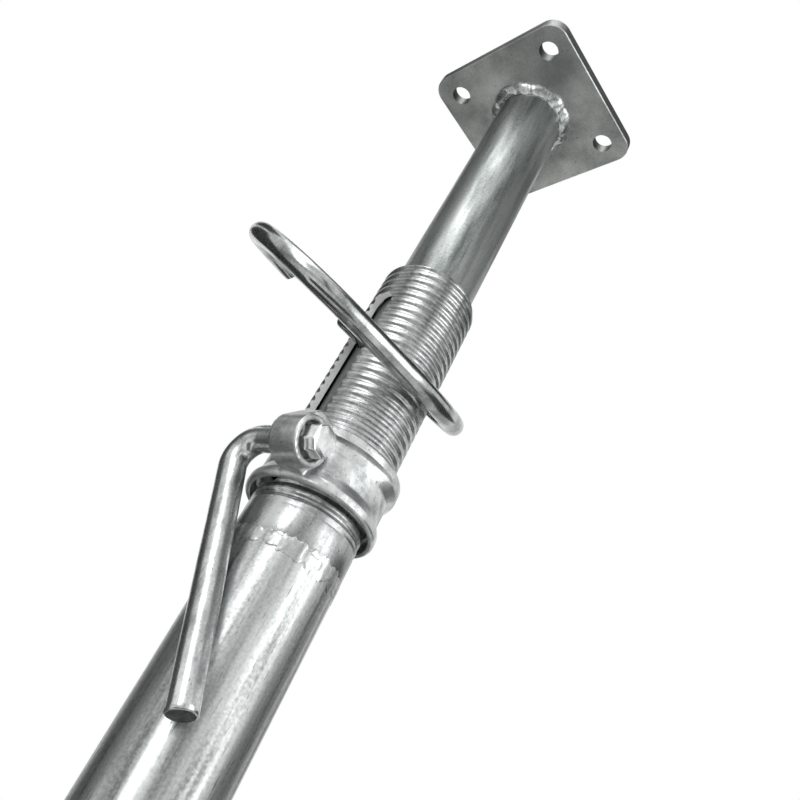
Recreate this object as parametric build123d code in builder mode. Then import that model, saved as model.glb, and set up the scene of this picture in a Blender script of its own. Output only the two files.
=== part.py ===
"""Telescopic steel prop, closed to its shortest length.

An inner tube slides in an outer tube and is held by a hooked pin through a row of holes.
The pin rests in the slots of a threaded sleeve, and a cast collar nut on the sleeve lifts it.
Frame: +Z up along the tubes, X and Y along the sides of the end plates, and the origin at
the centre of the foot plate's underside. All sizes are in millimetres.
"""

import os
from math import cos, radians, sin

from build123d import *

# Whole prop
closed_height = 1070.0
# height of the head plate's top above the sleeve's top when the prop is closed
sleeve_below_top = 218.0

# End plates, the same at head and foot
plate_side = 115.0
plate_thickness = 8.0
plate_corner_radius = 13.0
plate_edge_break = 0.6
plate_hole_diameter = 14.0
plate_hole_spacing = 80.0

# Outer tube, 60.3 mm tube, and the sleeve made of thicker tube of the same outside size
outer_wall = 2.6
sleeve_wall = 4.5
sleeve_length = 195.0
sleeve_mouth_chamfer = 1.0
slot_play = 5.5
slot_length = 142.0
slot_below_mouth = 22.0

# Inner tube, 48.3 mm tube with holes every 100 mm along Y
inner_diameter = 48.3
inner_wall = 3.2
inner_clearance_in_sleeve = 1.5
pin_hole_play = 4.5
pin_hole_pitch = 100.0
extension_steps = 6

# Stop and guide ring on the foot of the inner tube
guide_height = 24.0
guide_clearance = 0.35
guide_chamfer = 2.0

# Welds
fillet_weld_leg = 6.0
fillet_weld_crown = 0.8
seam_weld_width = 7.0
seam_weld_crown = 0.5

# Hooked pin, bent from one bar
pin_diameter = 12.0
pin_below_top = 273.5
pin_tilt = 4.5
pin_droop = 35.5
pin_tip_overhang = 13.85
pin_turn_overhang = 0.85
pin_turn_radius = 15.0
pin_turn_angle = 135.0
pin_loop_clearance = 13.85
pin_loop_centre = 58.0
pin_loop_angle = 172.0
pin_end_chamfer = 1.2

# Cast collar nut; each depth is the metal's reach beyond the sleeve's surface
nut_height = 36.0
nut_above_sleeve_foot = 30.0
nut_thread_clearance = 0.35
nut_mouth_clearance = 3.05
nut_mouth_depth = 7.0
nut_flange_depth = 6.25
nut_flange_height = 5.0
nut_waist_depth = 3.25
nut_bulge_depth = 6.35
nut_slope_height = 5.5
nut_bulge_height = 7.5
nut_edge_radius = 1.6

# Lug cast on the nut's side, with a bore across the nut for the handle
lug_azimuth = -77.0
lug_axis_depth = 13.35
lug_above_nut_foot = 15.3
lug_radius = 13.0
lug_start = 4.0
lug_length = 17.0
lug_web_radius = 7.0
lug_web_length = 12.0
lug_web_above_nut_foot = 2.5
lug_shoulder_above_axis = 13.0
lug_shoulder_inset = 3.0
lug_bore_clearance = 0.75
lug_mouth_radius = 9.9
lug_mouth_depth = 4.5

# Handle, a bent bar with an eight-sided head that keeps it in the lug
handle_diameter = 14.0
handle_bend_radius = 13.0
handle_corner_offset = -28.0
handle_length = 143.8
handle_inside_angle = 68.2
handle_lean = -4.25
handle_end_chamfer = 0.8
head_gap = 0.4
head_length = 11.5
head_height = 16.0
head_width = 15.0
head_corner_cut = 4.0
head_chamfer = 0.8

# Places that follow from the sizes above
inner_radius = inner_diameter / 2
outer_radius = inner_radius + inner_clearance_in_sleeve + sleeve_wall
outer_bore_radius = outer_radius - outer_wall
sleeve_bore_radius = outer_radius - sleeve_wall
head_plate_z = closed_height - plate_thickness
sleeve_top_z = closed_height - sleeve_below_top
sleeve_foot_z = sleeve_top_z - sleeve_length
slot_centre_z = sleeve_top_z - slot_below_mouth - slot_length / 2
slot_width = pin_diameter + slot_play
pin_hole_diameter = pin_diameter + pin_hole_play
pin_tip_reach = outer_radius + pin_tip_overhang
pin_turn_start = outer_radius + pin_turn_overhang
pin_loop_radius = outer_radius + pin_loop_clearance + pin_diameter / 2
pin_z = closed_height - pin_below_top
pin_hole_z = [pin_z - pin_hole_pitch * step for step in range(extension_steps + 1)]
nut_foot_z = sleeve_foot_z + nut_above_sleeve_foot
nut_bore_radius = outer_radius + nut_thread_clearance
nut_mouth_radius = outer_radius + nut_mouth_clearance
nut_flange_radius = outer_radius + nut_flange_depth
nut_waist_radius = outer_radius + nut_waist_depth
nut_bulge_radius = outer_radius + nut_bulge_depth
lug_axis_radius = outer_radius + lug_axis_depth
lug_axis_z = nut_foot_z + lug_above_nut_foot

os.makedirs("parts", exist_ok=True)


def end_plate(underside_z, name):
    """Square plate with rounded corners and four bolt holes."""
    with BuildPart() as plate:
        with BuildSketch(Plane.XY.offset(underside_z)):
            RectangleRounded(plate_side, plate_side, plate_corner_radius)
            with GridLocations(plate_hole_spacing, plate_hole_spacing, 2, 2):
                Circle(plate_hole_diameter / 2, mode=Mode.SUBTRACT)
        extrude(amount=plate_thickness)
        faces = plate.faces().filter_by(Axis.Z)
        rims = [face.outer_wire().edges() for face in faces]
        chamfer([edge for rim in rims for edge in rim], plate_edge_break)
    plate.part.label = name
    return plate.part


def fillet_weld(tube_radius, plate_z, direction, name):
    """Ring of weld in the corner between a tube and a plate, a little crowned."""
    leg = fillet_weld_leg
    toe = (tube_radius + leg, plate_z)
    top = (tube_radius, plate_z + direction * leg)
    middle = tube_radius + leg / 2 + fillet_weld_crown
    crown = (middle, plate_z + direction * (leg / 2 + fillet_weld_crown))
    with BuildPart() as weld:
        with BuildSketch(Plane.XZ):
            with BuildLine():
                ThreePointArc(toe, crown, top)
                Polyline(top, (tube_radius, plate_z), toe)
            make_face()
        revolve(axis=Axis.Z)
    weld.part.label = name
    return weld.part


# Foot plate and head plate
foot_plate = end_plate(0, "foot_plate")
head_plate = end_plate(head_plate_z, "head_plate")

# Outer tube, standing on the foot plate, its upper end bevelled for the seam weld
with BuildPart() as outer_tube:
    with BuildSketch(Plane.XZ):
        with BuildLine():
            Polyline(
                (outer_bore_radius, plate_thickness),
                (outer_radius, plate_thickness),
                (outer_radius, sleeve_foot_z - seam_weld_width / 2),
                (outer_bore_radius, sleeve_foot_z),
                close=True,
            )
        make_face()
    revolve(axis=Axis.Z)
outer_tube.part.label = "outer_tube"

# Sleeve, with a slot through each wall for the pin; its thread is cut by the surface model
with BuildPart() as thread_sleeve:
    with BuildSketch(Plane.XZ):
        with BuildLine():
            Polyline(
                (sleeve_bore_radius, sleeve_foot_z),
                (outer_bore_radius, sleeve_foot_z),
                (outer_radius, sleeve_foot_z + seam_weld_width / 2),
                (outer_radius, sleeve_top_z - sleeve_mouth_chamfer),
                (outer_radius - sleeve_mouth_chamfer, sleeve_top_z),
                (sleeve_bore_radius, sleeve_top_z),
                close=True,
            )
        make_face()
    revolve(axis=Axis.Z)
    with BuildSketch(Plane.XZ):
        with Locations((0, slot_centre_z)):
            SlotOverall(slot_length, slot_width, rotation=90)
    extrude(amount=outer_radius * 2, both=True, mode=Mode.SUBTRACT)
thread_sleeve.part.label = "thread_sleeve"

# Seam weld that fills the bevel between the outer tube and the sleeve
with BuildPart() as sleeve_weld:
    with BuildSketch(Plane.XZ):
        with BuildLine():
            low = (outer_radius, sleeve_foot_z - seam_weld_width / 2)
            high = (outer_radius, sleeve_foot_z + seam_weld_width / 2)
            ThreePointArc(low, (outer_radius + seam_weld_crown, sleeve_foot_z), high)
            Polyline(high, (outer_bore_radius, sleeve_foot_z), low)
        make_face()
    revolve(axis=Axis.Z)
sleeve_weld.part.label = "sleeve_weld"

# Inner tube, from the foot plate to the head plate, with the row of pin holes along Y
with BuildPart() as inner_tube:
    with BuildSketch(Plane.XY.offset(plate_thickness)):
        Circle(inner_radius)
        Circle(inner_radius - inner_wall, mode=Mode.SUBTRACT)
    extrude(amount=head_plate_z - plate_thickness)
    with BuildSketch(Plane.XZ):
        with Locations(*[(0, z) for z in pin_hole_z]):
            Circle(pin_hole_diameter / 2)
    extrude(amount=inner_diameter, both=True, mode=Mode.SUBTRACT)
inner_tube.part.label = "inner_tube"

# Guide ring, which runs in the outer tube and stops against the sleeve's thicker wall
guide_radius = outer_bore_radius - guide_clearance
with BuildPart() as guide_ring:
    with BuildSketch(Plane.XY.offset(plate_thickness)):
        Circle(guide_radius)
        Circle(inner_radius, mode=Mode.SUBTRACT)
    extrude(amount=guide_height)
    outer_rims = guide_ring.edges().filter_by(GeomType.CIRCLE).group_by(lambda edge: edge.radius)[-1]
    chamfer(outer_rims, min(guide_chamfer, (guide_radius - inner_radius) / 2))
guide_ring.part.label = "guide_ring"

# Fillet welds at the foot and under the head plate
foot_weld = fillet_weld(outer_radius, plate_thickness, 1, "foot_weld")
head_weld = fillet_weld(inner_radius, head_plate_z, -1, "head_weld")

# Hooked pin: a straight leg through the slots, a tight turn, a bow round the front of the
# sleeve and a wide loop that keeps the pin on the prop when its leg is drawn out
leg_direction = Vector(0, cos(radians(pin_tilt)), sin(radians(pin_tilt)))
level = Vector(1, 0, 0)
bow_direction = level * cos(radians(pin_droop)) - level.cross(leg_direction) * sin(radians(pin_droop))
pin_plane = Plane(
    origin=(0, 0, pin_z),
    x_dir=leg_direction,
    z_dir=leg_direction.cross(bow_direction),
)
turn_end = radians(pin_turn_angle - 90)
turn_rise = pin_turn_radius * (1 + sin(turn_end))
bow_radius = (pin_loop_radius - turn_rise) / (1 - sin(turn_end))
bow_top = pin_turn_start + (pin_turn_radius - bow_radius) * cos(turn_end)
with BuildPart() as g_pin:
    with BuildLine(pin_plane) as pin_path:
        Line((-pin_tip_reach, 0), (pin_turn_start, 0))
        CenterArc((pin_turn_start, pin_turn_radius), pin_turn_radius, -90, pin_turn_angle)
        CenterArc(
            (bow_top, pin_loop_radius - bow_radius),
            bow_radius,
            pin_turn_angle - 90,
            180 - pin_turn_angle,
        )
        Line((bow_top, pin_loop_radius), (-pin_loop_centre, pin_loop_radius))
        CenterArc((-pin_loop_centre, 0), pin_loop_radius, 90, pin_loop_angle)
    pin_wire = pin_path.wires()[0]
    with BuildSketch(Plane(origin=pin_plane.from_local_coords((-pin_tip_reach, 0, 0)), z_dir=leg_direction)):
        Circle(pin_diameter / 2)
    sweep(path=pin_wire)
    pin_ends = g_pin.faces().filter_by(GeomType.PLANE)
    chamfer(pin_ends.edges(), pin_end_chamfer)
g_pin.part.label = "g_pin"

# Collar nut: a flange at its foot, a waist, a wider band at its top, and the lug
flange_top = nut_flange_height
waist_foot = flange_top + nut_slope_height
bulge_foot = nut_height - nut_bulge_height
waist_top = bulge_foot - nut_slope_height
lug_direction = Vector(-sin(radians(lug_azimuth)), cos(radians(lug_azimuth)), 0)
lug_outward = Vector(cos(radians(lug_azimuth)), sin(radians(lug_azimuth)), 0)
lug_axis_point = lug_outward * lug_axis_radius + Vector(0, 0, lug_axis_z)
# in the lug's planes, x points out from the nut and y points up
lug_start_plane = Plane(
    origin=lug_axis_point + lug_direction * lug_start,
    x_dir=lug_outward,
    z_dir=-lug_direction,
)
lug_mouth_plane = lug_start_plane.offset(-lug_length)
web_foot = lug_web_above_nut_foot + lug_web_radius - lug_above_nut_foot
web_inset = nut_waist_radius - lug_axis_radius
lug_bore_radius = handle_diameter / 2 + lug_bore_clearance
with BuildPart() as collar_nut:
    with BuildSketch(Plane.XZ) as nut_section:
        with BuildLine():
            Polyline(
                (nut_bore_radius, nut_foot_z),
                (nut_flange_radius, nut_foot_z),
                (nut_flange_radius, nut_foot_z + flange_top),
                (nut_waist_radius, nut_foot_z + waist_foot),
                (nut_waist_radius, nut_foot_z + waist_top),
                (nut_bulge_radius, nut_foot_z + bulge_foot),
                (nut_bulge_radius, nut_foot_z + nut_height),
                (nut_bore_radius, nut_foot_z + nut_height),
                close=True,
            )
        make_face()
        outer_corners = nut_section.vertices().filter_by(lambda point: point.X > nut_bore_radius + 0.1)
        fillet(outer_corners, nut_edge_radius)
    revolve(axis=Axis.Z)
    with BuildSketch(lug_start_plane):
        Circle(lug_radius)
        with Locations(
            (web_inset, web_foot),
            (web_inset, lug_shoulder_above_axis),
            (-lug_shoulder_inset, lug_shoulder_above_axis),
        ):
            Circle(lug_web_radius)
        make_hull()
    extrude(amount=-lug_web_length)
    with BuildSketch(lug_start_plane):
        Circle(lug_radius)
    extrude(amount=-lug_length)
    with BuildSketch(Plane.XY.offset(nut_foot_z)):
        Circle(nut_bore_radius)
    extrude(amount=nut_height, mode=Mode.SUBTRACT)
    with BuildSketch(Plane.XY.offset(nut_foot_z)):
        Circle(nut_mouth_radius)
    extrude(amount=nut_mouth_depth, mode=Mode.SUBTRACT)
    with BuildSketch(lug_start_plane):
        Circle(lug_bore_radius)
    extrude(amount=-lug_length, mode=Mode.SUBTRACT)
    with BuildSketch(lug_mouth_plane):
        Circle(lug_mouth_radius)
    extrude(amount=lug_mouth_depth, mode=Mode.SUBTRACT)
collar_nut.part.label = "collar_nut"

# Handle: the short leg turns in the lug, the long leg hangs beside the outer tube
lean = radians(handle_lean)
inside = radians(handle_inside_angle)
hanging = lug_outward * sin(lean) - Vector(0, 0, 1) * cos(lean)
long_leg_direction = lug_direction * cos(inside) + hanging * sin(inside)
handle_corner = lug_axis_point + lug_direction * handle_corner_offset
handle_end = handle_corner + long_leg_direction * handle_length
# the head rests on the floor of the lug's mouth
head_start = lug_start + lug_length - lug_mouth_depth + head_gap
short_leg_end = lug_axis_point + lug_direction * head_start
head_plane = Plane(origin=short_leg_end, x_dir=lug_outward, z_dir=lug_direction)
with BuildPart() as nut_handle:
    with BuildLine() as handle_path:
        FilletPolyline(short_leg_end, handle_corner, handle_end, radius=handle_bend_radius)
    with BuildSketch(head_plane):
        Circle(handle_diameter / 2)
    sweep(path=handle_path.wires()[0])
    cut_end = nut_handle.faces().filter_by(GeomType.PLANE).sort_by_distance(handle_end)[0]
    chamfer(cut_end.edges(), handle_end_chamfer)
    with BuildSketch(head_plane) as head_section:
        Rectangle(head_width, head_height)
        chamfer(head_section.vertices(), head_corner_cut)
    extrude(amount=head_length)
    head_end = short_leg_end + lug_direction * head_length
    end_face = nut_handle.faces().filter_by(GeomType.PLANE).sort_by_distance(head_end)[0]
    chamfer(end_face.edges(), head_chamfer)
nut_handle.part.label = "nut_handle"

pieces = [
    foot_plate,
    foot_weld,
    outer_tube.part,
    sleeve_weld.part,
    thread_sleeve.part,
    collar_nut.part,
    nut_handle.part,
    g_pin.part,
    inner_tube.part,
    guide_ring.part,
    head_weld,
    head_plate,
]
for piece in pieces:
    export_step(piece, f"parts/{piece.label}.step")
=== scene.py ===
"""Telescopic steel prop, hot-dip galvanised, closed to its shortest length.

Dressed here from its foot plate up to its head plate, then set on a pale floor and lit.
Lengths are in metres, in the frame of the solid model: +Z up along the tubes, the origin at
the centre of the foot plate's underside.
"""

import math

import bmesh
import bpy
from mathutils import Matrix, Vector


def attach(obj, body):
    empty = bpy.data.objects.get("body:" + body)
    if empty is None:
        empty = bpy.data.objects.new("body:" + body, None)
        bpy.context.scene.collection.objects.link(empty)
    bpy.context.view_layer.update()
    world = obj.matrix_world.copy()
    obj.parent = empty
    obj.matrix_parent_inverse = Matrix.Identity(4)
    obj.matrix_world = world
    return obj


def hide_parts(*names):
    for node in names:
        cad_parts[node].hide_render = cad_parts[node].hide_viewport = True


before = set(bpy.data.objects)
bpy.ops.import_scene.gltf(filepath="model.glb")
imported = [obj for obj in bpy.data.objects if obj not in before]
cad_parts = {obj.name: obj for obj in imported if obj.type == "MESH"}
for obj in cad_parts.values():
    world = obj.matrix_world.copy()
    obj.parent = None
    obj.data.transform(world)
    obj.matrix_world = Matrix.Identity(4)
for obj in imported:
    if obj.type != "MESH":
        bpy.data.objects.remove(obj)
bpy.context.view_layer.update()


# The foot plate and the head plate are squares of 8 mm steel with rounded corners and four bolt
# holes, cut from sheet, welded to the tubes and then dipped in molten zinc. The zinc sets in
# faint clouds on their faces. Their cut edges and holes are painted darker: painted shade.


def linear(colour):
    """An sRGB hex colour as the linear colour that shaders take."""
    parts = [int(colour[i : i + 2], 16) / 255 for i in (1, 3, 5)]
    return [p / 12.92 if p <= 0.04045 else ((p + 0.055) / 1.055) ** 2.4 for p in parts] + [1.0]


def add(tree, kind, settings, sockets):
    """One node. Each socket, by name or number, gets a value, a node or one of its outputs."""
    node = tree.nodes.new(kind)
    for name, value in settings.items():
        setattr(node, name, value)
    for name, value in sockets.items():
        if isinstance(value, bpy.types.Node):
            value = value.outputs[0]
        if isinstance(value, bpy.types.NodeSocket):
            tree.links.new(value, node.inputs[name])
        else:
            node.inputs[name].default_value = value
    return node


def zinc_coat(
    name, dark, light, cloud_mm, grain_mm, grain_depth_mm, rough, fleck_mm, flecks, metallic=0.86
):
    """Hot-dip galvanised steel: clouds of darker and lighter zinc, a grain in relief, and small
    dark flecks where the zinc is scuffed.

    cloud_mm and fleck_mm hold a size along X, Y and Z, so a tube's marks can be long streaks.
    rough is the roughness of the lightest and of the darkest zinc, and flecks is how dark the
    flecks get, of 1. What is missing from 1 in metallic is the zinc's thin oxide. The grain of
    real zinc is finer than 1 mm, and is drawn as coarse as it needs to be to show. The colour
    ramp and the gloss run over the part of the clouds' range that zinc fills.
    """
    grain_share = 0.3
    darkest_at, lightest_at = 0.47, 0.84
    fleck_starts, fleck_full = 0.64, 0.74
    dull_at, bright_at = 0.45, 0.85
    finish = bpy.data.materials.new(name)
    finish.use_nodes = True
    tree = finish.node_tree
    shader = tree.nodes["Principled BSDF"]
    shader.inputs["Metallic"].default_value = metallic
    place = add(tree, "ShaderNodeTexCoord", {}, {}).outputs["Object"]
    size = [1000 / mm for mm in cloud_mm]
    stretched = add(tree, "ShaderNodeMapping", {}, {"Vector": place, "Scale": size})
    clouds = add(
        tree,
        "ShaderNodeTexNoise",
        {},
        {"Vector": stretched, "Scale": 1.0, "Detail": 3.0, "Roughness": 0.55},
    )
    grain = add(
        tree,
        "ShaderNodeTexNoise",
        {},
        {"Vector": place, "Scale": 1000 / grain_mm, "Detail": 3.0},
    )
    mixed = add(
        tree,
        "ShaderNodeMath",
        {"operation": "MULTIPLY_ADD"},
        {0: grain, 1: grain_share, 2: clouds},
    )
    tones = add(tree, "ShaderNodeValToRGB", {}, {"Fac": mixed})
    for element, position, colour in zip(
        tones.color_ramp.elements, (darkest_at, lightest_at), (dark, light)
    ):
        element.position = position
        element.color = linear(colour)
    size = [1000 / mm for mm in fleck_mm]
    small = add(tree, "ShaderNodeMapping", {}, {"Vector": place, "Scale": size})
    spots = add(tree, "ShaderNodeTexNoise", {}, {"Vector": small, "Scale": 1.0, "Detail": 2.0})
    spots = add(
        tree,
        "ShaderNodeMapRange",
        {},
        {"Value": spots, "From Min": fleck_starts, "From Max": fleck_full, "To Max": flecks},
    )
    scuffed = add(
        tree,
        "ShaderNodeMix",
        {"data_type": "RGBA", "blend_type": "MULTIPLY"},
        {0: spots, 6: tones, 7: linear("#959999")},
    )
    tree.links.new(scuffed.outputs[2], shader.inputs["Base Color"])
    gloss = add(
        tree,
        "ShaderNodeMapRange",
        {},
        {
            "Value": mixed,
            "From Min": dull_at,
            "From Max": bright_at,
            "To Min": rough[1],
            "To Max": rough[0],
        },
    )
    tree.links.new(gloss.outputs[0], shader.inputs["Roughness"])
    relief = add(
        tree,
        "ShaderNodeBump",
        {},
        {"Strength": 0.6, "Distance": grain_depth_mm / 1000, "Height": mixed},
    )
    tree.links.new(relief.outputs[0], shader.inputs["Normal"])
    return finish


def painted_edge_shade(finish):
    """Paints shade into a plate's zinc where the surface turns away from up and down: its edges and
    holes are painted darker.
    """
    tree = finish.node_tree
    colour = tree.nodes["Principled BSDF"].inputs["Base Color"]
    zinc = colour.links[0].from_socket
    facing = add(tree, "ShaderNodeTexCoord", {}, {}).outputs["Normal"]
    facing = add(tree, "ShaderNodeSeparateXYZ", {}, {0: facing}).outputs[2]
    facing = add(tree, "ShaderNodeMath", {"operation": "ABSOLUTE"}, {0: facing})
    sideways_shade = add(
        tree,
        "ShaderNodeMapRange",
        {},
        {"Value": facing, "From Min": 0.2, "From Max": 0.6, "To Min": 0.8, "To Max": 0.0},
    )
    # Painted shade: the colour that edges and hole walls are multiplied by.
    darker = add(
        tree,
        "ShaderNodeMix",
        {"data_type": "RGBA", "blend_type": "MULTIPLY"},
        {0: sideways_shade, 6: zinc, 7: linear("#616565")},
    )
    tree.links.new(darker.outputs[2], colour)


# Sheet takes an even coat: flat grey with wide, faint clouds, half dull.
plate_zinc = zinc_coat(
    "hot-dip galvanised sheet steel",
    "#989b9a",
    "#d4d6d5",
    cloud_mm=(30, 30, 30),
    grain_mm=1.6,
    grain_depth_mm=0.05,
    rough=(0.34, 0.48),
    fleck_mm=(3, 3, 3),
    flecks=0.4,
)
# Painted shade on the plates' edges and in their holes.
painted_edge_shade(plate_zinc)
for node in ("foot_plate", "head_plate"):
    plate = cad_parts[node]
    plate.data.materials.clear()
    plate.data.materials.append(plate_zinc)


# The fillet welds join the plates to the tubes: a bead of weld metal laid round each tube in
# overlapping ripples, uneven where the welder stopped and started. Zinc stays bright on it,
# thicker than on the tube.


def weld_bead_rule():
    """Node tree of a weld bead: a ring of a rounded section, rippled along its length.

    A flat grid is bent into the ring: its X goes round the tube and its Y round the section.
    """
    ripple_lag, mean_size, root_in_wall = 0.35, 0.95, 0.0008
    tree = bpy.data.node_groups.new("weld bead", "GeometryNodeTree")
    sockets = {}
    for label, kind in (
        ("Ring Radius", "NodeSocketFloat"),
        ("Height On Tube", "NodeSocketFloat"),
        ("Direction", "NodeSocketFloat"),
        ("Radial Leg", "NodeSocketFloat"),
        ("Axial Leg", "NodeSocketFloat"),
        ("Root Depth", "NodeSocketFloat"),
        ("Flatness", "NodeSocketFloat"),
        ("Ripples", "NodeSocketFloat"),
        ("Ripple Height", "NodeSocketFloat"),
        ("Unevenness", "NodeSocketFloat"),
        ("Lumps", "NodeSocketFloat"),
        ("Seed", "NodeSocketFloat"),
        ("Finish", "NodeSocketMaterial"),
    ):
        socket = tree.interface.new_socket(label, in_out="INPUT", socket_type=kind)
        sockets[label] = socket.identifier
    tree.interface.new_socket("Bead", in_out="OUTPUT", socket_type="NodeSocketGeometry")
    given = add(tree, "NodeGroupInput", {}, {}).outputs
    math_node = "ShaderNodeMath"
    grid = add(tree, "GeometryNodeMeshGrid", {}, {"Vertices X": 481, "Vertices Y": 33})
    spot = add(tree, "GeometryNodeInputPosition", {}, {})
    spot = add(tree, "ShaderNodeSeparateXYZ", {}, {0: spot})
    turn = add(tree, math_node, {"operation": "MULTIPLY"}, {0: spot.outputs[0], 1: 2 * math.pi})
    round_section = add(
        tree,
        math_node,
        {"operation": "MULTIPLY"},
        {0: spot.outputs[1], 1: 2 * math.pi},
    )
    cos_turn = add(tree, math_node, {"operation": "COSINE"}, {0: turn})
    sin_turn = add(tree, math_node, {"operation": "SINE"}, {0: turn})
    lag = add(tree, math_node, {"operation": "COSINE"}, {0: round_section})
    lag = add(tree, math_node, {"operation": "MULTIPLY"}, {0: lag, 1: ripple_lag})
    deep = add(tree, math_node, {"operation": "ADD"}, {0: lag, 1: given["Seed"]})
    circle = add(tree, "ShaderNodeCombineXYZ", {}, {0: cos_turn, 1: sin_turn, 2: deep})
    swell = add(
        tree,
        "ShaderNodeTexNoise",
        {},
        {"Vector": circle, "Scale": given["Lumps"], "Detail": 1.0, "Roughness": 0.3},
    )
    swell = add(tree, math_node, {"operation": "MULTIPLY_ADD"}, {0: swell, 1: 2.0, 2: -1.0})
    swell = add(tree, math_node, {"operation": "MULTIPLY"}, {0: swell, 1: given["Unevenness"]})
    beat = add(
        tree,
        math_node,
        {"operation": "MULTIPLY"},
        {0: spot.outputs[0], 1: given["Ripples"]},
    )
    beat = add(tree, math_node, {"operation": "ADD"}, {0: beat, 1: lag})
    beat = add(tree, math_node, {"operation": "FRACT"}, {0: beat})
    beat = add(tree, math_node, {"operation": "MULTIPLY"}, {0: beat, 1: given["Ripple Height"]})
    size = add(tree, math_node, {"operation": "ADD"}, {0: swell, 1: beat})
    size = add(tree, math_node, {"operation": "ADD"}, {0: size, 1: mean_size})
    reach = {}
    for label, wave, leg in (("out", "COSINE", "Radial Leg"), ("along", "SINE", "Axial Leg")):
        value = add(tree, math_node, {"operation": wave}, {0: round_section})
        sign = add(tree, math_node, {"operation": "SIGN"}, {0: value})
        value = add(tree, math_node, {"operation": "ABSOLUTE"}, {0: value})
        value = add(tree, math_node, {"operation": "POWER"}, {0: value, 1: given["Flatness"]})
        value = add(tree, math_node, {"operation": "MULTIPLY"}, {0: value, 1: sign})
        value = add(tree, math_node, {"operation": "MULTIPLY"}, {0: value, 1: given[leg]})
        reach[label] = add(tree, math_node, {"operation": "MULTIPLY"}, {0: value, 1: size})
    root = add(tree, math_node, {"operation": "MULTIPLY"}, {0: given["Root Depth"], 1: -1.0})
    along = add(tree, math_node, {"operation": "MAXIMUM"}, {0: reach["along"], 1: root})
    out = add(tree, math_node, {"operation": "MAXIMUM"}, {0: reach["out"], 1: -root_in_wall})
    radius = add(tree, math_node, {"operation": "ADD"}, {0: out, 1: given["Ring Radius"]})
    height = add(
        tree,
        math_node,
        {"operation": "MULTIPLY_ADD"},
        {0: along, 1: given["Direction"], 2: given["Height On Tube"]},
    )
    x = add(tree, math_node, {"operation": "MULTIPLY"}, {0: radius, 1: cos_turn})
    y = add(tree, math_node, {"operation": "MULTIPLY"}, {0: radius, 1: sin_turn})
    place = add(tree, "ShaderNodeCombineXYZ", {}, {0: x, 1: y, 2: height})
    bead = add(tree, "GeometryNodeSetPosition", {}, {"Geometry": grid, "Position": place})
    bead = add(tree, "GeometryNodeMergeByDistance", {}, {"Geometry": bead, "Distance": 0.00002})
    bead = add(tree, "GeometryNodeRealizeInstances", {}, {"Geometry": bead})
    bead = add(tree, "GeometryNodeSetMaterial", {}, {"Geometry": bead, "Material": given["Finish"]})
    add(tree, "NodeGroupOutput", {}, {0: bead})
    return tree, sockets


def grown(name, tree, sockets, values, start=None, sharp=35):
    """The plain mesh that a node tree makes, shaded smooth but for its sharp corners."""
    carrier = bpy.data.objects.new(name + "_rule", start or bpy.data.meshes.new(name + "_rule"))
    bpy.context.scene.collection.objects.link(carrier)
    modifier = carrier.modifiers.new("rule", "NODES")
    modifier.node_group = tree
    for label, value in values.items():
        modifier[sockets[label]] = value
    graph = bpy.context.evaluated_depsgraph_get()
    mesh = bpy.data.meshes.new_from_object(carrier.evaluated_get(graph))
    carrier.modifiers.remove(modifier)
    bpy.data.objects.remove(carrier)
    return as_piece(name, mesh, sharp)


def as_piece(name, mesh, sharp=35):
    """An object for a finished mesh, its faces turned outwards and its doubles merged."""
    work = bmesh.new()
    work.from_mesh(mesh)
    bmesh.ops.remove_doubles(work, verts=work.verts, dist=0.000004)
    bmesh.ops.recalc_face_normals(work, faces=work.faces)
    work.to_mesh(mesh)
    work.free()
    mesh.name = name
    mesh.shade_smooth()
    mesh.set_sharp_from_angle(angle=math.radians(sharp))
    piece = bpy.data.objects.new(name, mesh)
    bpy.context.scene.collection.objects.link(piece)
    return piece


# Weld metal takes a thick coat: bright, glossy and spotted.
weld_zinc = zinc_coat(
    "hot-dip galvanised weld metal",
    "#7e8484",
    "#dfe3e3",
    cloud_mm=(4, 4, 4),
    grain_mm=0.9,
    grain_depth_mm=0.08,
    rough=(0.16, 0.34),
    fleck_mm=(2, 2, 2),
    flecks=0.8,
)
ripple_length = 0.011
bead_tree, bead_sockets = weld_bead_rule()
for node, body, ring, height, direction, seed in (
    ("foot_weld", "outer", 0.03015, 0.008, 1.0, 2.0),
    ("head_weld", "inner", 0.02415, 1.062, -1.0, 7.0),
):
    values = {
        "Ring Radius": ring,
        "Height On Tube": height,
        "Direction": direction,
        "Radial Leg": 0.0064,
        "Axial Leg": 0.0068,
        "Root Depth": 0.0006,
        "Flatness": 1.3,
        "Ripples": float(round(2 * math.pi * ring / ripple_length)),
        "Ripple Height": 0.03,
        "Unevenness": 0.5,
        "Lumps": 2.4,
        "Seed": seed,
        "Finish": weld_zinc,
    }
    bead = grown(node + "_bead", bead_tree, bead_sockets, values)
    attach(bead, body)
    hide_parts(node)


# The outer tube is 60.3 mm steel tube with a 2.6 mm wall, welded to the foot plate. It was
# dipped hot with it: the zinc ran down it and set in long soft streaks, lighter and darker.


def turned(name, profile, steps):
    """A closed body of revolution about Z from a closed profile of (radius, height)."""
    mesh = bpy.data.meshes.new(name)
    work = bmesh.new()
    rings = []
    for radius, height in profile:
        ring = []
        for step in range(steps):
            angle = 2 * math.pi * step / steps
            spot = (radius * math.cos(angle), radius * math.sin(angle), height)
            ring.append(work.verts.new(spot))
        rings.append(ring)
    for ring, following in zip(rings, rings[1:] + rings[:1]):
        for step in range(steps):
            after = (step + 1) % steps
            work.faces.new((ring[step], ring[after], following[after], following[step]))
    work.to_mesh(mesh)
    work.free()
    return mesh


outer_radius, outer_bore = 0.03015, 0.02755
tube_foot, seam_foot, seam_height = 0.008, 0.6535, 0.657
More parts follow.
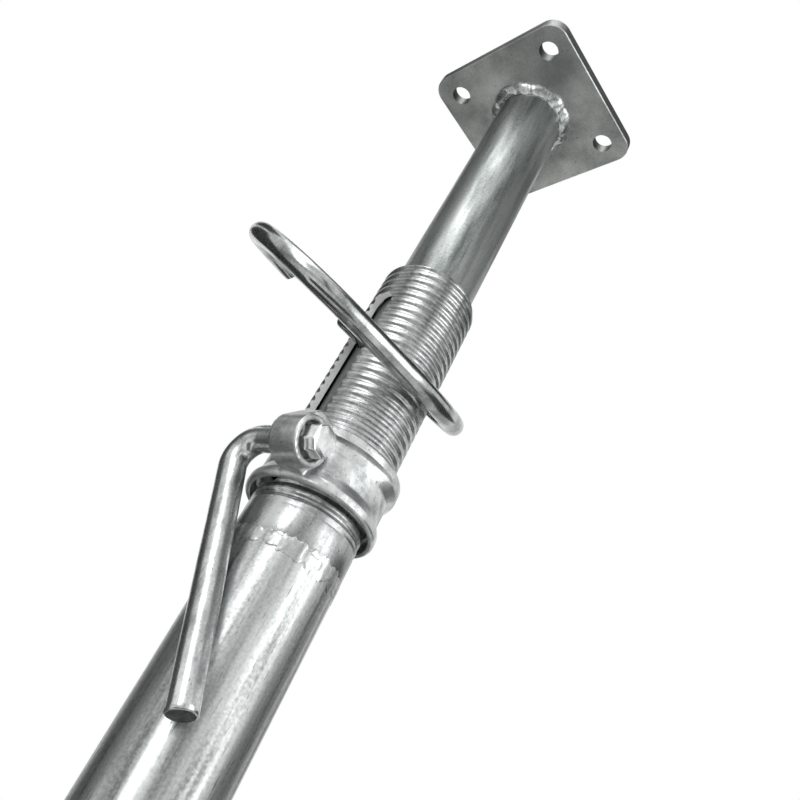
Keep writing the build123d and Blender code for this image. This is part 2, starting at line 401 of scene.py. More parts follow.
# The zinc's long streaks give the tube light and dark lines along it, over a half-dull shine.
tube_zinc = zinc_coat(
    "hot-dip galvanised welded tube",
    "#6d706f",
    "#c6c8c8",
    cloud_mm=(7, 7, 120),
    grain_mm=1.4,
    grain_depth_mm=0.03,
    rough=(0.26, 0.42),
    fleck_mm=(1.2, 1.2, 11),
    flecks=0.75,
)
rows = [tube_foot + (seam_foot - tube_foot) * i / 12 for i in range(13)]
profile = [(outer_radius, z) for z in rows] + [(outer_bore, seam_height), (outer_bore, tube_foot)]
tube = as_piece("outer_tube_skin", turned("outer_tube_skin", profile, 192))
tube.data.materials.append(tube_zinc)
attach(tube, "outer")
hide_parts("outer_tube")


# The seam weld joins the sleeve to the outer tube. It is a low bead, a little wider than the
# bevel between the two tubes that it fills, ground almost flush, with flat lumps left on it and
# ragged rims.

values = {
    "Ring Radius": outer_radius,
    "Height On Tube": seam_height,
    "Direction": 1.0,
    "Radial Leg": 0.00034,
    "Axial Leg": 0.0043,
    "Root Depth": 0.01,
    "Flatness": 1.05,
    "Ripples": 40.0,
    "Ripple Height": 0.12,
    "Unevenness": 1.2,
    "Lumps": 6.0,
    "Seed": 4.0,
    "Finish": tube_zinc,
}
seam = grown("sleeve_weld_bead", bead_tree, bead_sockets, values)
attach(seam, "outer")
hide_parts("sleeve_weld")


# The threaded sleeve is 60.3 mm tube of a thicker wall, welded on top of the outer tube. It has
# a coarse thread of 6 mm pitch with flat crests, and a long slot milled through each wall for
# the pin. The zinc leaves the crests bright.

sleeve_bore, sleeve_foot, bevel_top, sleeve_top = 0.02565, 0.657, 0.6605, 0.852
pitch, thread_depth, thread_foot = 0.006, 0.0012, 0.676


def thread_rule():
    """Node tree that cuts a flat-crested thread into a tube's outside and mills its two slots.

    The slots' cut walls get a finish of their own.
    """
    crest_slope, crest_width, skin_share = 0.9, 0.62, 0.97
    cutter_length, middle_depth, half_wall, hair = 0.1, 0.0028, 0.0013, 0.00002
    tree = bpy.data.node_groups.new("thread and slots", "GeometryNodeTree")
    sockets = {}
    tree.interface.new_socket("Tube", in_out="INPUT", socket_type="NodeSocketGeometry")
    for label, kind in (
        ("Outer Radius", "NodeSocketFloat"),
        ("Pitch", "NodeSocketFloat"),
        ("Depth", "NodeSocketFloat"),
        ("Thread Foot", "NodeSocketFloat"),
        ("Slot Width", "NodeSocketFloat"),
        ("Slot Foot", "NodeSocketFloat"),
        ("Slot Top", "NodeSocketFloat"),
        ("Finish", "NodeSocketMaterial"),
        ("Cut Finish", "NodeSocketMaterial"),
    ):
        socket = tree.interface.new_socket(label, in_out="INPUT", socket_type=kind)
        sockets[label] = socket.identifier
    tree.interface.new_socket("Sleeve", in_out="OUTPUT", socket_type="NodeSocketGeometry")
    given = add(tree, "NodeGroupInput", {}, {}).outputs
    math_node = "ShaderNodeMath"
    spot = add(tree, "GeometryNodeInputPosition", {}, {})
    spot = add(tree, "ShaderNodeSeparateXYZ", {}, {0: spot})
    angle = add(tree, math_node, {"operation": "ARCTAN2"}, {0: spot.outputs[1], 1: spot.outputs[0]})
    turns = add(tree, math_node, {"operation": "DIVIDE"}, {0: angle, 1: 2 * math.pi})
    rise = add(tree, math_node, {"operation": "DIVIDE"}, {0: spot.outputs[2], 1: given["Pitch"]})
    phase = add(tree, math_node, {"operation": "SUBTRACT"}, {0: rise, 1: turns})
    phase = add(tree, math_node, {"operation": "MULTIPLY"}, {0: phase, 1: 2 * math.pi})
    crest = add(tree, math_node, {"operation": "SINE"}, {0: phase})
    crest = add(
        tree,
        math_node,
        {"operation": "MULTIPLY_ADD", "use_clamp": True},
        {0: crest, 1: crest_slope, 2: crest_width},
    )
    groove = add(tree, math_node, {"operation": "SUBTRACT"}, {0: 1.0, 1: crest})
    groove = add(tree, math_node, {"operation": "MULTIPLY"}, {0: groove, 1: given["Depth"]})
    above = add(
        tree,
        math_node,
        {"operation": "SUBTRACT"},
        {0: spot.outputs[2], 1: given["Thread Foot"]},
    )
    run_in = add(
        tree,
        math_node,
        {"operation": "DIVIDE", "use_clamp": True},
        {0: above, 1: given["Pitch"]},
    )
    groove = add(tree, math_node, {"operation": "MULTIPLY"}, {0: groove, 1: run_in})
    level = add(tree, "ShaderNodeCombineXYZ", {}, {0: spot.outputs[0], 1: spot.outputs[1]})
    radius = add(tree, "ShaderNodeVectorMath", {"operation": "LENGTH"}, {0: level}).outputs["Value"]
    near = add(
        tree,
        math_node,
        {"operation": "MULTIPLY"},
        {0: given["Outer Radius"], 1: skin_share},
    )
    outside = add(
        tree,
        "FunctionNodeCompare",
        {"data_type": "FLOAT", "operation": "GREATER_THAN"},
        {0: radius, 1: near},
    )
    inward = add(tree, "ShaderNodeVectorMath", {"operation": "NORMALIZE"}, {0: level})
    back = add(tree, math_node, {"operation": "MULTIPLY"}, {0: groove, 1: -1.0})
    inward = add(tree, "ShaderNodeVectorMath", {"operation": "SCALE"}, {0: inward, "Scale": back})
    cut = add(
        tree,
        "GeometryNodeSetPosition",
        {},
        {"Geometry": given["Tube"], "Selection": outside, "Offset": inward},
    )
    half = add(tree, math_node, {"operation": "DIVIDE"}, {0: given["Slot Width"], 1: 2.0})
    low = add(tree, math_node, {"operation": "ADD"}, {0: given["Slot Foot"], 1: half})
    high = add(tree, math_node, {"operation": "SUBTRACT"}, {0: given["Slot Top"], 1: half})
    run = add(tree, math_node, {"operation": "SUBTRACT"}, {0: high, 1: low})
    middle = add(tree, math_node, {"operation": "ADD"}, {0: high, 1: low})
    middle = add(tree, math_node, {"operation": "DIVIDE"}, {0: middle, 1: 2.0})
    block_size = add(
        tree,
        "ShaderNodeCombineXYZ",
        {},
        {0: given["Slot Width"], 1: cutter_length, 2: run},
    )
    block = add(tree, "GeometryNodeMeshCube", {}, {"Size": block_size})
    block_place = add(tree, "ShaderNodeCombineXYZ", {}, {2: middle})
    place = {"Geometry": block, "Translation": block_place}
    cutters = [add(tree, "GeometryNodeTransform", {}, place)]
    for end in (low, high):
        drill = add(
            tree,
            "GeometryNodeMeshCylinder",
            {},
            {"Vertices": 64, "Radius": half, "Depth": cutter_length},
        )
        drill_place = add(tree, "ShaderNodeCombineXYZ", {}, {2: end})
        drill = add(
            tree,
            "GeometryNodeTransform",
            {},
            {"Geometry": drill, "Translation": drill_place, "Rotation": (math.pi / 2, 0, 0)},
        )
        cutters.append(drill)
    milled = cut
    for cutter in cutters:
        milled = add(
            tree,
            "GeometryNodeMeshBoolean",
            {"operation": "DIFFERENCE", "solver": "MANIFOLD"},
            {0: milled, 1: cutter},
        )
    sleeve = add(tree, "GeometryNodeRealizeInstances", {}, {"Geometry": milled})
    sleeve = add(
        tree,
        "GeometryNodeSetMaterial",
        {},
        {"Geometry": sleeve, "Material": given["Finish"]},
    )
    # The milled faces are those in the middle of the wall, between the slot's sides and below its
    # top, and those that lie flat in the plane of a side.
    wall = add(
        tree,
        math_node,
        {"operation": "SUBTRACT"},
        {0: given["Outer Radius"], 1: middle_depth},
    )
    in_wall = add(tree, math_node, {"operation": "COMPARE"}, {0: radius, 1: wall, 2: half_wall})
    aside = add(tree, math_node, {"operation": "ABSOLUTE"}, {0: spot.outputs[0]})
    slot_side = add(tree, math_node, {"operation": "ADD"}, {0: half, 1: hair})
    within = add(tree, math_node, {"operation": "LESS_THAN"}, {0: aside, 1: slot_side})
    slot_end = add(tree, math_node, {"operation": "ADD"}, {0: given["Slot Top"], 1: 5 * hair})
    below = add(tree, math_node, {"operation": "LESS_THAN"}, {0: spot.outputs[2], 1: slot_end})
    milled_wall = add(tree, math_node, {"operation": "MULTIPLY"}, {0: within, 1: below})
    milled_wall = add(tree, math_node, {"operation": "MULTIPLY"}, {0: milled_wall, 1: in_wall})
    flat_side = add(tree, math_node, {"operation": "COMPARE"}, {0: aside, 1: half, 2: hair})
    milled_wall = add(tree, math_node, {"operation": "MAXIMUM"}, {0: milled_wall, 1: flat_side})
    sleeve = add(
        tree,
        "GeometryNodeSetMaterial",
        {},
        {"Geometry": sleeve, "Selection": milled_wall, "Material": given["Cut Finish"]},
    )
    add(tree, "NodeGroupOutput", {}, {0: sleeve})
    return tree, sockets


# The thread's crests shine in narrow bands, over soft streaks. On the slots' milled edges the
# zinc stands thick, and its white oxide hides all shine of metal.
thread_zinc = zinc_coat(
    "hot-dip galvanised thread",
    "#6d7070",
    "#bfc1c1",
    cloud_mm=(10, 10, 60),
    grain_mm=1.2,
    grain_depth_mm=0.04,
    rough=(0.24, 0.38),
    fleck_mm=(2, 2, 4),
    flecks=0.5,
)
edge_zinc = zinc_coat(
    "thick white zinc on a milled edge",
    "#e6e7e7",
    "#fafafa",
    cloud_mm=(5, 5, 12),
    grain_mm=1.2,
    grain_depth_mm=0.04,
    rough=(0.4, 0.5),
    fleck_mm=(2, 2, 2),
    flecks=0.3,
    metallic=0.0,
)
threaded = sleeve_top - thread_foot
rows = [thread_foot + threaded * i / 352 for i in range(353)]
profile = [(sleeve_bore, sleeve_foot), (outer_bore, sleeve_foot), (outer_radius, bevel_top)]
profile += [(outer_radius, z) for z in rows]
profile += [(sleeve_bore + 0.002, sleeve_top), (sleeve_bore, sleeve_top)]
blank = turned("sleeve_blank", profile, 144)
thread_tree, thread_sockets = thread_rule()
values = {
    "Outer Radius": outer_radius,
    "Pitch": pitch,
    "Depth": thread_depth,
    "Thread Foot": thread_foot,
    "Slot Width": 0.0175,
    "Slot Foot": 0.688,
    "Slot Top": 0.830,
    "Finish": thread_zinc,
    "Cut Finish": edge_zinc,
}
sleeve = grown("thread_sleeve_cut", thread_tree, thread_sockets, values, blank, 42)
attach(sleeve, "outer")
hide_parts("thread_sleeve")


# The collar nut is a ductile iron casting that runs on the thread, with a ring flange at each
# end, a waist between and a lug on its side for the handle. Sand leaves a rough skin, and every
# corner of the pattern is rounded.

# The casting's sand skin under the zinc scatters the light: pale, mottled and half dull.
casting_zinc = zinc_coat(
    "hot-dip galvanised iron casting",
    "#8e9191",
    "#d6d8d8",
    cloud_mm=(12, 12, 12),
    grain_mm=1.0,
    grain_depth_mm=0.3,
    rough=(0.3, 0.42),
    fleck_mm=(1.5, 1.5, 1.5),
    flecks=0.8,
    metallic=0.88,
)
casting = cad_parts["collar_nut"].data.copy()
work = bmesh.new()
work.from_mesh(casting)
bmesh.ops.remove_doubles(work, verts=work.verts, dist=0.00001)
work.to_mesh(casting)
work.free()
carrier = bpy.data.objects.new("collar_nut_pattern", casting)
bpy.context.scene.collection.objects.link(carrier)
remesh = carrier.modifiers.new("skin", "REMESH")
remesh.mode = "VOXEL"
remesh.voxel_size = 0.00065
soften = carrier.modifiers.new("soften", "SMOOTH")
soften.factor = 0.5
soften.iterations = 4
graph = bpy.context.evaluated_depsgraph_get()
skin = bpy.data.meshes.new_from_object(carrier.evaluated_get(graph))
carrier.modifiers.clear()
bpy.data.objects.remove(carrier)
# Under the top band the pattern leaves a sharp step, a fifth of a turn long beside the lug.
step_low, lip_foot, step_high, lip_height = 0.7085, 0.7163, 0.7175, 0.0009
step_inside, step_wall, step_outside, lip_reach = 0.0335, 0.0336, 0.0368, 0.0029
step_start, step_end, start_fade, end_fade = -47, 22, 3, 30
for vertex in skin.vertices:
    x, y, z = vertex.co
    reach, azimuth = math.hypot(x, y), math.degrees(math.atan2(y, x))
    under_band = step_low < z < step_high and step_inside < reach < step_outside
    if under_band and step_start < azimuth < step_end:
        shown = min(1.0, (azimuth - step_start) / start_fade, (step_end - azimuth) / end_fade)
        up_lip = min(1.0, max(0.0, (z - lip_foot) / lip_height))
        step = step_wall + lip_reach * up_lip
        if reach > step:
            closer = (reach + (step - reach) * shown) / reach
            vertex.co.x, vertex.co.y = x * closer, y * closer
nut = as_piece("collar_nut_casting", skin, 60)
nut.data.materials.clear()
nut.data.materials.append(casting_zinc)
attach(nut, "nut")
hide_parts("collar_nut")


# The nut's handle is 14 mm round steel bar bent to an acute angle and held in the lug's bore by
# its eight-sided head, which was upset hot on the bar's end. The other end is sheared off
# square.


def swept(name, path, upright, sections):
    """A closed skin through one ring of points for each point of a path."""
    mesh = bpy.data.meshes.new(name)
    work = bmesh.new()
    rings = []
    up = Vector(upright)
    for i, point in enumerate(path):
        ahead = path[min(i + 1, len(path) - 1)] - path[max(i - 1, 0)]
        ahead.normalize()
        up = (up - ahead * up.dot(ahead)).normalized()
        side = ahead.cross(up)
        rings.append([work.verts.new(point + side * a + up * b) for a, b in sections[i]])
    count = len(rings[0])
    for ring, following in zip(rings, rings[1:]):
        for step in range(count):
            after = (step + 1) % count
            work.faces.new((ring[step], ring[after], following[after], following[step]))
    work.faces.new(rings[0])
    work.faces.new(rings[-1])
    work.to_mesh(mesh)
    work.free()
    return mesh


def round_ring(radius):
    """Sixty-four points round a bar."""
    angles = [math.pi * i / 32 for i in range(64)]
    return [(radius * math.cos(angle), radius * math.sin(angle)) for angle in angles]


def eight_sided_ring(wide, high, cut):
    """Sixty-four points round a rectangle with cut corners, eight to each of its sides."""
    x, y = wide / 2, high / 2
    right = [(x, y - cut), (x - cut, y), (cut - x, y), (-x, y - cut)]
    corners = right + [(-a, -b) for a, b in right]
    ring = []
    for (ax, ay), (bx, by) in zip(corners, corners[1:] + corners[:1]):
        ring += [(ax + (bx - ax) * i / 8, ay + (by - ay) * i / 8) for i in range(8)]
    return ring[60:] + ring[:60]


def bar_path(corners, radius, step):
    """Points along straight runs joined by arcs of one radius."""
    points = [corners[0]]
    for before, corner, after in zip(corners, corners[1:], corners[2:]):
        u, v = (before - corner).normalized(), (after - corner).normalized()
        half = u.angle(v) / 2
        cut = radius / math.tan(half)
        centre = corner + (u + v).normalized() * (radius / math.sin(half))
        first, last = corner + u * cut - centre, corner + v * cut - centre
        sweep = first.angle(last)
        axis = first.cross(last).normalized()
        count = max(3, int(sweep * radius / step))
        angles = [sweep * i / count for i in range(count + 1)]
        arc = [centre + Matrix.Rotation(angle, 3, axis) @ first for angle in angles]
        points += divided(points.pop(), arc[0], step * 3) + arc[1:]
    points += divided(points.pop(), corners[-1], step * 3)
    return points


def divided(first, last, step):
    """Even points from one end of a straight run to the other, both ends included."""
    count = max(1, round((last - first).length / step))
    return [first.lerp(last, i / count) for i in range(count + 1)]


lug_angle = math.radians(-77)
lug_out = Vector((math.cos(lug_angle), math.sin(lug_angle), 0))
lug_along = Vector((-math.sin(lug_angle), math.cos(lug_angle), 0))
lug_reach, lug_height, short_arm, long_arm = 0.0435, 0.7023, 0.028, 0.1438
lug_axis = lug_out * lug_reach + Vector((0, 0, lug_height))
lean, inside = math.radians(-4.25), math.radians(68.2)
hanging = lug_out * math.sin(lean) - Vector((0, 0, 1)) * math.cos(lean)
corner = lug_axis - lug_along * short_arm
long_end = corner + (lug_along * math.cos(inside) + hanging * math.sin(inside)) * long_arm
head_start, head_end, grip, bend_radius, spacing = 0.0169, 0.0284, 0.007, 0.013, 0.0009
path, sections = [], []
for reach, wide, high, corner_cut in (
    (head_end, 0.0136, 0.0146, 0.0037),
    (head_end - 0.0002, 0.0145, 0.0155, 0.0039),
    (head_end - 0.0006, 0.0150, 0.0160, 0.0040),
    (head_start + 0.0006, 0.0150, 0.0160, 0.0040),
    (head_start, 0.0142, 0.0152, 0.0039),
):
    path.append(lug_axis + lug_along * reach)
    sections.append(eight_sided_ring(wide, high, corner_cut))
path.append(lug_axis + lug_along * (head_start - 0.0004))
sections.append(round_ring(grip))
shaft_start = lug_axis + lug_along * (head_start - 0.007)
shaft = bar_path([shaft_start, corner, long_end], bend_radius, spacing)
last_run = (shaft[-1] - shaft[-2]).normalized()
shaft[-1] = long_end - last_run * 0.0008
path += shaft + [long_end - last_run * 0.0002, long_end]
sections += [round_ring(grip)] * len(shaft) + [round_ring(grip - 0.0005), round_ring(grip - 0.0009)]
# Bar takes a bright coat that is worn in flecks along it. The forged head's flat faces are
# smoother and painted lighter than the bar: a painted highlight. The sheared end is painted dark:
# painted shade.
bar_zinc = zinc_coat(
    "hot-dip galvanised round bar",
    "#858888",
    "#dbdddd",
    cloud_mm=(8, 8, 22),
    grain_mm=1.1,
    grain_depth_mm=0.09,
    rough=(0.18, 0.36),
    fleck_mm=(1.2, 1.2, 2.4),
    flecks=0.7,
    metallic=0.94,
)
# Painted shade: the sheared end, which faces down, gets a dark colour.
end_painted_shade = zinc_coat(
    "sheared bar end, painted shade",
    "#434646",
    "#6d7070",
    cloud_mm=(5, 5, 5),
    grain_mm=1.0,
    grain_depth_mm=0.1,
    rough=(0.4, 0.5),
    fleck_mm=(1.2, 1.2, 1.2),
    flecks=0.6,
    metallic=0.8,
)
# Painted highlight: a lighter, smoother copy of the bar's zinc for the head's flat faces.
head_painted_highlight = zinc_coat(
    "forged head, painted highlight",
    "#cfd1d1",
    "#eeefef",
    cloud_mm=(5, 5, 5),
    grain_mm=1.1,
    grain_depth_mm=0.04,
    rough=(0.12, 0.22),
    fleck_mm=(2, 2, 2),
    flecks=0.3,
    metallic=0.9,
)
handle = as_piece("nut_handle_bar", swept("nut_handle_bar", path, (0, 0, 1), sections), 40)
for finish in (bar_zinc, head_painted_highlight, end_painted_shade):
    handle.data.materials.append(finish)
highlight_head_zone, shaded_end_zone = 0.035, 0.00005
for face in handle.data.polygons:
    beyond = face.center - lug_axis
    # The head's faces get the painted highlight.
    if beyond.dot(lug_along) > head_start - 0.0002 and beyond.length < highlight_head_zone:
        face.material_index = 1
    # The sheared end's faces get the painted shade.
    if (face.center - long_end).dot(last_run) > -shaded_end_zone:
        face.material_index = 2
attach(handle, "handle")
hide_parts("nut_handle")


# The hooked pin is 12 mm round steel bar, sheared to length and bent cold: a straight leg that
# goes through the slots and the inner tube, a tight turn, and a bow that comes round the front
# of the sleeve into a wide loop.

tilt, droop = math.radians(4.5), math.radians(35.5)
leg = Vector((0, math.cos(tilt), math.sin(tilt)))
bow = Vector((1, 0, 0)) * math.cos(droop) - Vector((1, 0, 0)).cross(leg) * math.sin(droop)
pin_centre, pin_radius, leg_end = Vector((0, 0, 0.7965)), 0.006, -0.044
turn_start, turn_radius, turn_sweep = 0.031, 0.015, math.radians(135)
loop_radius, loop_centre, loop_sweep = 0.050, -0.058, math.radians(172)
lift = math.sin(turn_sweep - math.pi / 2)
bow_radius = (loop_radius - turn_radius * (1 + lift)) / (1 - lift)
bow_top = turn_start + (turn_radius - bow_radius) * math.cos(turn_sweep - math.pi / 2)
bow_centre = (bow_top, loop_radius - bow_radius)
flat = []
for count, centre, radius, start, sweep in (
    (26, (turn_start, turn_radius), turn_radius, -math.pi / 2, turn_sweep),
    (24, bow_centre, bow_radius, turn_sweep - math.pi / 2, math.pi - turn_sweep),
    (90, (loop_centre, 0), loop_radius, math.pi / 2, loop_sweep),
):
    for i in range(count + 1):
        angle = start + sweep * i / count
        point = (centre[0] + radius * math.cos(angle), centre[1] + radius * math.sin(angle))
        if not flat or math.dist(point, flat[-1]) > 0.0004:
            flat.append(point)
rounded = leg_end + 0.0012
lead = [(leg_end, 0), (leg_end + 0.0002, 0), (rounded, 0)]
lead += [(rounded + (turn_start - rounded) * i / 20, 0) for i in range(1, 20)]
end_angle = math.pi / 2 + loop_sweep
tail = Vector((-math.sin(end_angle), math.cos(end_angle)))
flat = lead + flat[:-1]
last = Vector((loop_centre + loop_radius * math.cos(end_angle), loop_radius * math.sin(end_angle)))
flat += [tuple(last - tail * 0.0010), tuple(last - tail * 0.0002), tuple(last)]
path = [pin_centre + leg * a + bow * b for a, b in flat]
sections = [round_ring(pin_radius)] * len(path)
for i, shrink in ((0, 0.0013), (1, 0.0008), (-1, 0.0013), (-2, 0.0008)):
    sections[i] = round_ring(pin_radius - shrink)
# The pin slides and is handled, which polishes its zinc: glossy, with broad, faint clouds.
pin_zinc = zinc_coat(
    "hot-dip galvanised bent pin",
    "#7e8181",
    "#c2c4c4",
    cloud_mm=(14, 14, 14),
    grain_mm=1.5,
    grain_depth_mm=0.03,
    rough=(0.14, 0.26),
    fleck_mm=(2, 2, 2),
    flecks=0.4,
    metallic=0.96,
)
pin = as_piece("g_pin_bar", swept("g_pin_bar", path, leg.cross(bow), sections), 40)
pin.data.materials.append(pin_zinc)
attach(pin, "pin")
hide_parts("g_pin")


# The inner tube is 48.3 mm steel tube with a 3.2 mm wall, a guide ring round its foot and a
# hole right through it every 100 mm for the pin. It was rolled and welded along one side, and
# that seam still shows as a broken line under the zinc.

inner_radius, inner_bore, head_underside = 0.02415, 0.02095, 1.062


def pin_hole_rule():
    """Node tree that drills an even row of holes right through a tube, along Y."""
    drill_length = 0.1
    tree = bpy.data.node_groups.new("row of pin holes", "GeometryNodeTree")
    sockets = {}
    tree.interface.new_socket("Tube", in_out="INPUT", socket_type="NodeSocketGeometry")
    for label, kind in (
        ("Holes", "NodeSocketInt"),
        ("Hole Pitch", "NodeSocketFloat"),
        ("Lowest Hole", "NodeSocketFloat"),
        ("Hole Radius", "NodeSocketFloat"),
        ("Finish", "NodeSocketMaterial"),
    ):
        socket = tree.interface.new_socket(label, in_out="INPUT", socket_type=kind)
        sockets[label] = socket.identifier
    tree.interface.new_socket("Drilled Tube", in_out="OUTPUT", socket_type="NodeSocketGeometry")
    given = add(tree, "NodeGroupInput", {}, {}).outputs
    lowest = add(tree, "ShaderNodeCombineXYZ", {}, {2: given["Lowest Hole"]})
    spacing = add(tree, "ShaderNodeCombineXYZ", {}, {2: given["Hole Pitch"]})
    row = add(
        tree,
        "GeometryNodeMeshLine",
        {},
        {"Count": given["Holes"], "Start Location": lowest, "Offset": spacing},
    )
    drill = add(
        tree,
        "GeometryNodeMeshCylinder",
        {},
        {"Vertices": 64, "Radius": given["Hole Radius"], "Depth": drill_length},
    )
    drills = add(
        tree,
        "GeometryNodeInstanceOnPoints",
        {},
        {"Points": row, "Instance": drill, "Rotation": (math.pi / 2, 0, 0)},
    )
    drills = add(tree, "GeometryNodeRealizeInstances", {}, {"Geometry": drills})
    tube = add(
        tree,
        "GeometryNodeMeshBoolean",
        {"operation": "DIFFERENCE", "solver": "MANIFOLD"},
        {0: given["Tube"], 1: drills},
    )
    tube = add(tree, "GeometryNodeRealizeInstances", {}, {"Geometry": tube})
    tube = add(tree, "GeometryNodeSetMaterial", {}, {"Geometry": tube, "Material": given["Finish"]})
    add(tree, "NodeGroupOutput", {}, {0: tube})
    return tree, sockets


def seam_line(finish, azimuth, half_width, radius):
    """Draws the thin broken line of a tube's long weld into its zinc, at one azimuth."""
    waves_per_metre, waver_angle, darkest = 45, 0.03, 0.7
    tree = finish.node_tree
    colour = tree.nodes["Principled BSDF"].inputs["Base Color"]
    zinc = colour.links[0].from_socket
    place = add(tree, "ShaderNodeTexCoord", {}, {}).outputs["Object"]
    spot = add(tree, "ShaderNodeSeparateXYZ", {}, {0: place})
    angle = add(
        tree,
        "ShaderNodeMath",
        {"operation": "ARCTAN2"},
        {0: spot.outputs[1], 1: spot.outputs[0]},
    )
    off = add(
        tree,
        "ShaderNodeMath",
        {"operation": "SUBTRACT"},
        {0: angle, 1: math.radians(azimuth)},
    )
    along = add(tree, "ShaderNodeMapping", {}, {"Vector": place, "Scale": (0, 0, waves_per_metre)})
    waver = add(tree, "ShaderNodeTexNoise", {}, {"Vector": along, "Scale": 1.0, "Detail": 4.0})
    bend = add(
        tree,
        "ShaderNodeMath",
        {"operation": "MULTIPLY_ADD"},
        {0: waver, 1: waver_angle, 2: -waver_angle / 2},
    )
    off = add(tree, "ShaderNodeMath", {"operation": "ADD"}, {0: off, 1: bend})
    off = add(tree, "ShaderNodeMath", {"operation": "ABSOLUTE"}, {0: off})
    line = add(
        tree,
        "ShaderNodeMapRange",
        {},
        {
            "Value": off,
            "From Min": 0.4 * half_width / radius,
            "From Max": half_width / radius,
            "To Min": 1.0,
            "To Max": 0.0,
        },
    )
    shown = add(
        tree,
        "ShaderNodeMapRange",
        {},
        {"Value": waver, "From Min": 0.48, "From Max": 0.66, "To Max": darkest},
    )
    depth = add(tree, "ShaderNodeMath", {"operation": "MULTIPLY"}, {0: line, 1: shown})
    darker = add(
        tree,
        "ShaderNodeMix",
        {"data_type": "RGBA", "blend_type": "MULTIPLY"},
        {0: depth, 6: zinc, 7: linear("#595d5d")},
    )
    tree.links.new(darker.outputs[2], colour)


# This coat is thinner and duller than the outer tube's, in long dark streaks.
inner_zinc = zinc_coat(
    "hot-dip galvanised seamed tube",
    "#575c5b",
    "#a0a4a3",
    cloud_mm=(9, 9, 80),
    grain_mm=1.4,
    grain_depth_mm=0.03,
    rough=(0.32, 0.48),
    fleck_mm=(1.2, 1.2, 11),
    flecks=0.6,
)
seam_line(inner_zinc, azimuth=-21, half_width=0.0007, radius=inner_radius)
rows = [tube_foot + (head_underside - tube_foot) * i / 24 for i in range(25)]
profile = [(inner_radius, z) for z in rows] + [(inner_bore, z) for z in reversed(rows)]
hole_tree, hole_sockets = pin_hole_rule()
values = {
    "Holes": 7,
    "Hole Pitch": 0.1,
    "Lowest Hole": 0.1965,
    "Hole Radius": 0.00825,
    "Finish": inner_zinc,
}
blank = turned("inner_tube_blank", profile, 160)
inner = grown("inner_tube_drilled", hole_tree, hole_sockets, values, blank)
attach(inner, "inner")
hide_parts("inner_tube")
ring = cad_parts["guide_ring"]
ring.data.materials.clear()
ring.data.materials.append(inner_zinc)


# The prop stands on a wide floor of pale matt paint, under three soft lamps and in front of a
# white ground, and the camera sees it from low beside it.

bpy.ops.mesh.primitive_plane_add(size=16, location=(0, 0, 0))
floor = bpy.context.object
floor.name = "floor"
pale = bpy.data.materials.new("pale matt floor paint")
pale.use_nodes = True
pale.node_tree.nodes["Principled BSDF"].inputs["Base Color"].default_value = linear("#e6e6e4")
pale.node_tree.nodes["Principled BSDF"].inputs["Roughness"].default_value = 0.8
floor.data.materials.append(pale)

world = bpy.data.worlds.new("white ground")
bpy.context.scene.world = world
world.use_nodes = True
tree = world.node_tree
tree.nodes.clear()
rays = add(tree, "ShaderNodeLightPath", {}, {})
seen = rays.outputs["Is Camera Ray"]
for ray in ("Is Glossy Ray", "Is Transmission Ray"):
    seen = add(tree, "ShaderNodeMath", {"operation": "MAXIMUM"}, {0: seen, 1: rays.outputs[ray]})
strength = add(tree, "ShaderNodeMapRange", {}, {"Value": seen, "To Min": 0.7, "To Max": 1.0})
white = add(tree, "ShaderNodeBackground", {}, {"Color": linear("#ffffff"), "Strength": strength})
add(tree, "ShaderNodeOutputWorld", {}, {"Surface": white})

aim = Vector((0, 0, 0.75))


def outwards(azimuth, elevation):
    """The direction from the prop to a lamp or a card."""
    a, e = math.radians(azimuth), math.radians(elevation)
    return Vector((math.cos(a) * math.cos(e), math.sin(a) * math.cos(e), math.sin(e)))


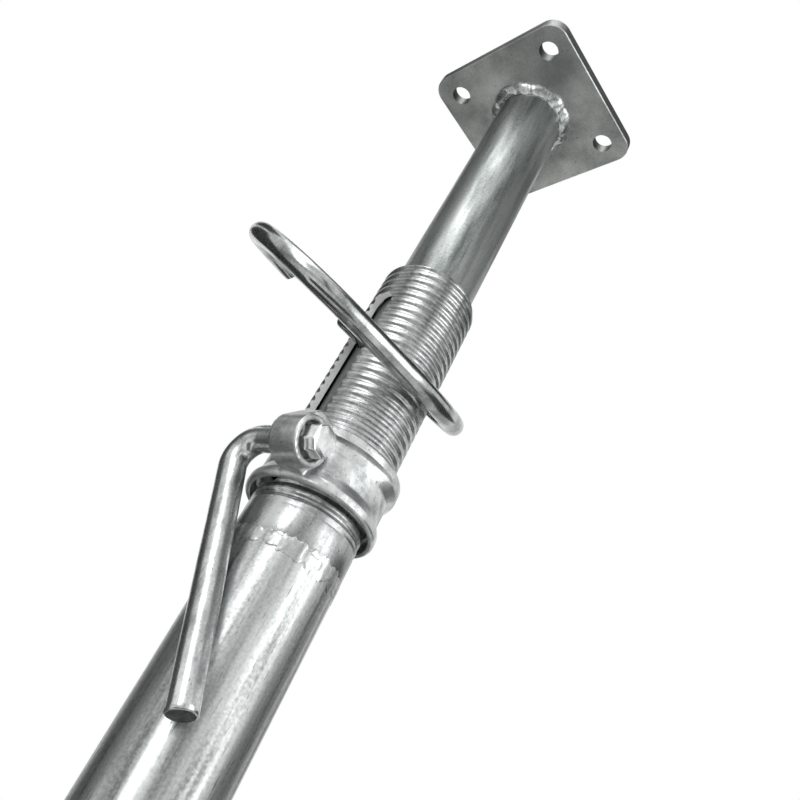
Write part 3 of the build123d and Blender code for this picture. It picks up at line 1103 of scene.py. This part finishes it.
for name, azimuth, elevation, distance, wide, high, power in (
    ("softbox_right", 18, 8, 1.5, 0.85, 1.3, 10),
    ("softbox_above", -66, 56, 1.5, 0.7, 1.0, 7),
    ("softbox_left", -66, 17, 1.5, 0.45, 1.2, 8),
):
    direction = outwards(azimuth, elevation)
    lamp = bpy.data.lights.new(name, "AREA")
    lamp.shape = "RECTANGLE"
    lamp.size, lamp.size_y, lamp.energy = wide, high, power
    stand = bpy.data.objects.new(name, lamp)
    stand.location = aim + direction * distance
    stand.rotation_mode = "QUATERNION"
    stand.rotation_quaternion = direction.to_track_quat("Z", "Y")
    bpy.context.scene.collection.objects.link(stand)

# Dark cards give bright metal its dark bands, as in a studio. They show in reflections only.
card_felt = bpy.data.materials.new("dark felt card")
card_felt.use_nodes = True
card_felt.node_tree.nodes["Principled BSDF"].inputs["Base Color"].default_value = linear("#2c2e2e")
card_felt.node_tree.nodes["Principled BSDF"].inputs["Roughness"].default_value = 0.9
for name, azimuth, elevation, distance, wide, high in (
    ("dark_card_left", -145, 5, 1.6, 1.7, 1.9),
    ("dark_card_right", 70, -4, 1.6, 1.35, 1.15),
    ("dark_card_high", 47, 58, 1.6, 1.7, 0.8),
    ("dark_card_top", 110, 74, 1.4, 1.2, 0.8),
    ("dark_card_low", -33, -66, 0.79, 1.0, 0.6),
    ("dark_card_behind", 150, -68, 0.70, 0.9, 0.5),
    ("dark_card_back", 160, -25, 1.2, 1.1, 0.55),
    ("dark_card_left_low", -145, -40, 0.85, 0.8, 0.5),
    ("dark_card_front", -31, 2, 1.3, 0.16, 1.0),
    ("dark_card_corner", -138, 53, 1.6, 1.2, 0.6),
):
    direction = outwards(azimuth, elevation)
    turn = direction.to_track_quat("Z", "Y")
    mesh = bpy.data.meshes.new(name)
    signs = ((-1, -1), (1, -1), (1, 1), (-1, 1))
    corners = [Vector((x * wide / 2, y * high / 2, 0)) for x, y in signs]
    mesh.from_pydata([aim + direction * distance + turn @ c for c in corners], [], [(3, 2, 1, 0)])
    mesh.materials.append(card_felt)
    card = bpy.data.objects.new(name, mesh)
    bpy.context.scene.collection.objects.link(card)
    card.visible_camera = card.visible_diffuse = card.visible_shadow = False

lens = bpy.data.cameras.new("camera")
lens.sensor_width = 36
lens.lens = 38.366
camera = bpy.data.objects.new("camera", lens)
camera.location = (0.33770, -0.21426, 0.50419)
camera.rotation_mode = "QUATERNION"
camera.rotation_quaternion = (0.346614, 0.859211, 0.210982, 0.311611)
bpy.context.scene.collection.objects.link(camera)
bpy.context.scene.camera = camera
bpy.context.scene.view_settings.view_transform = "Standard"
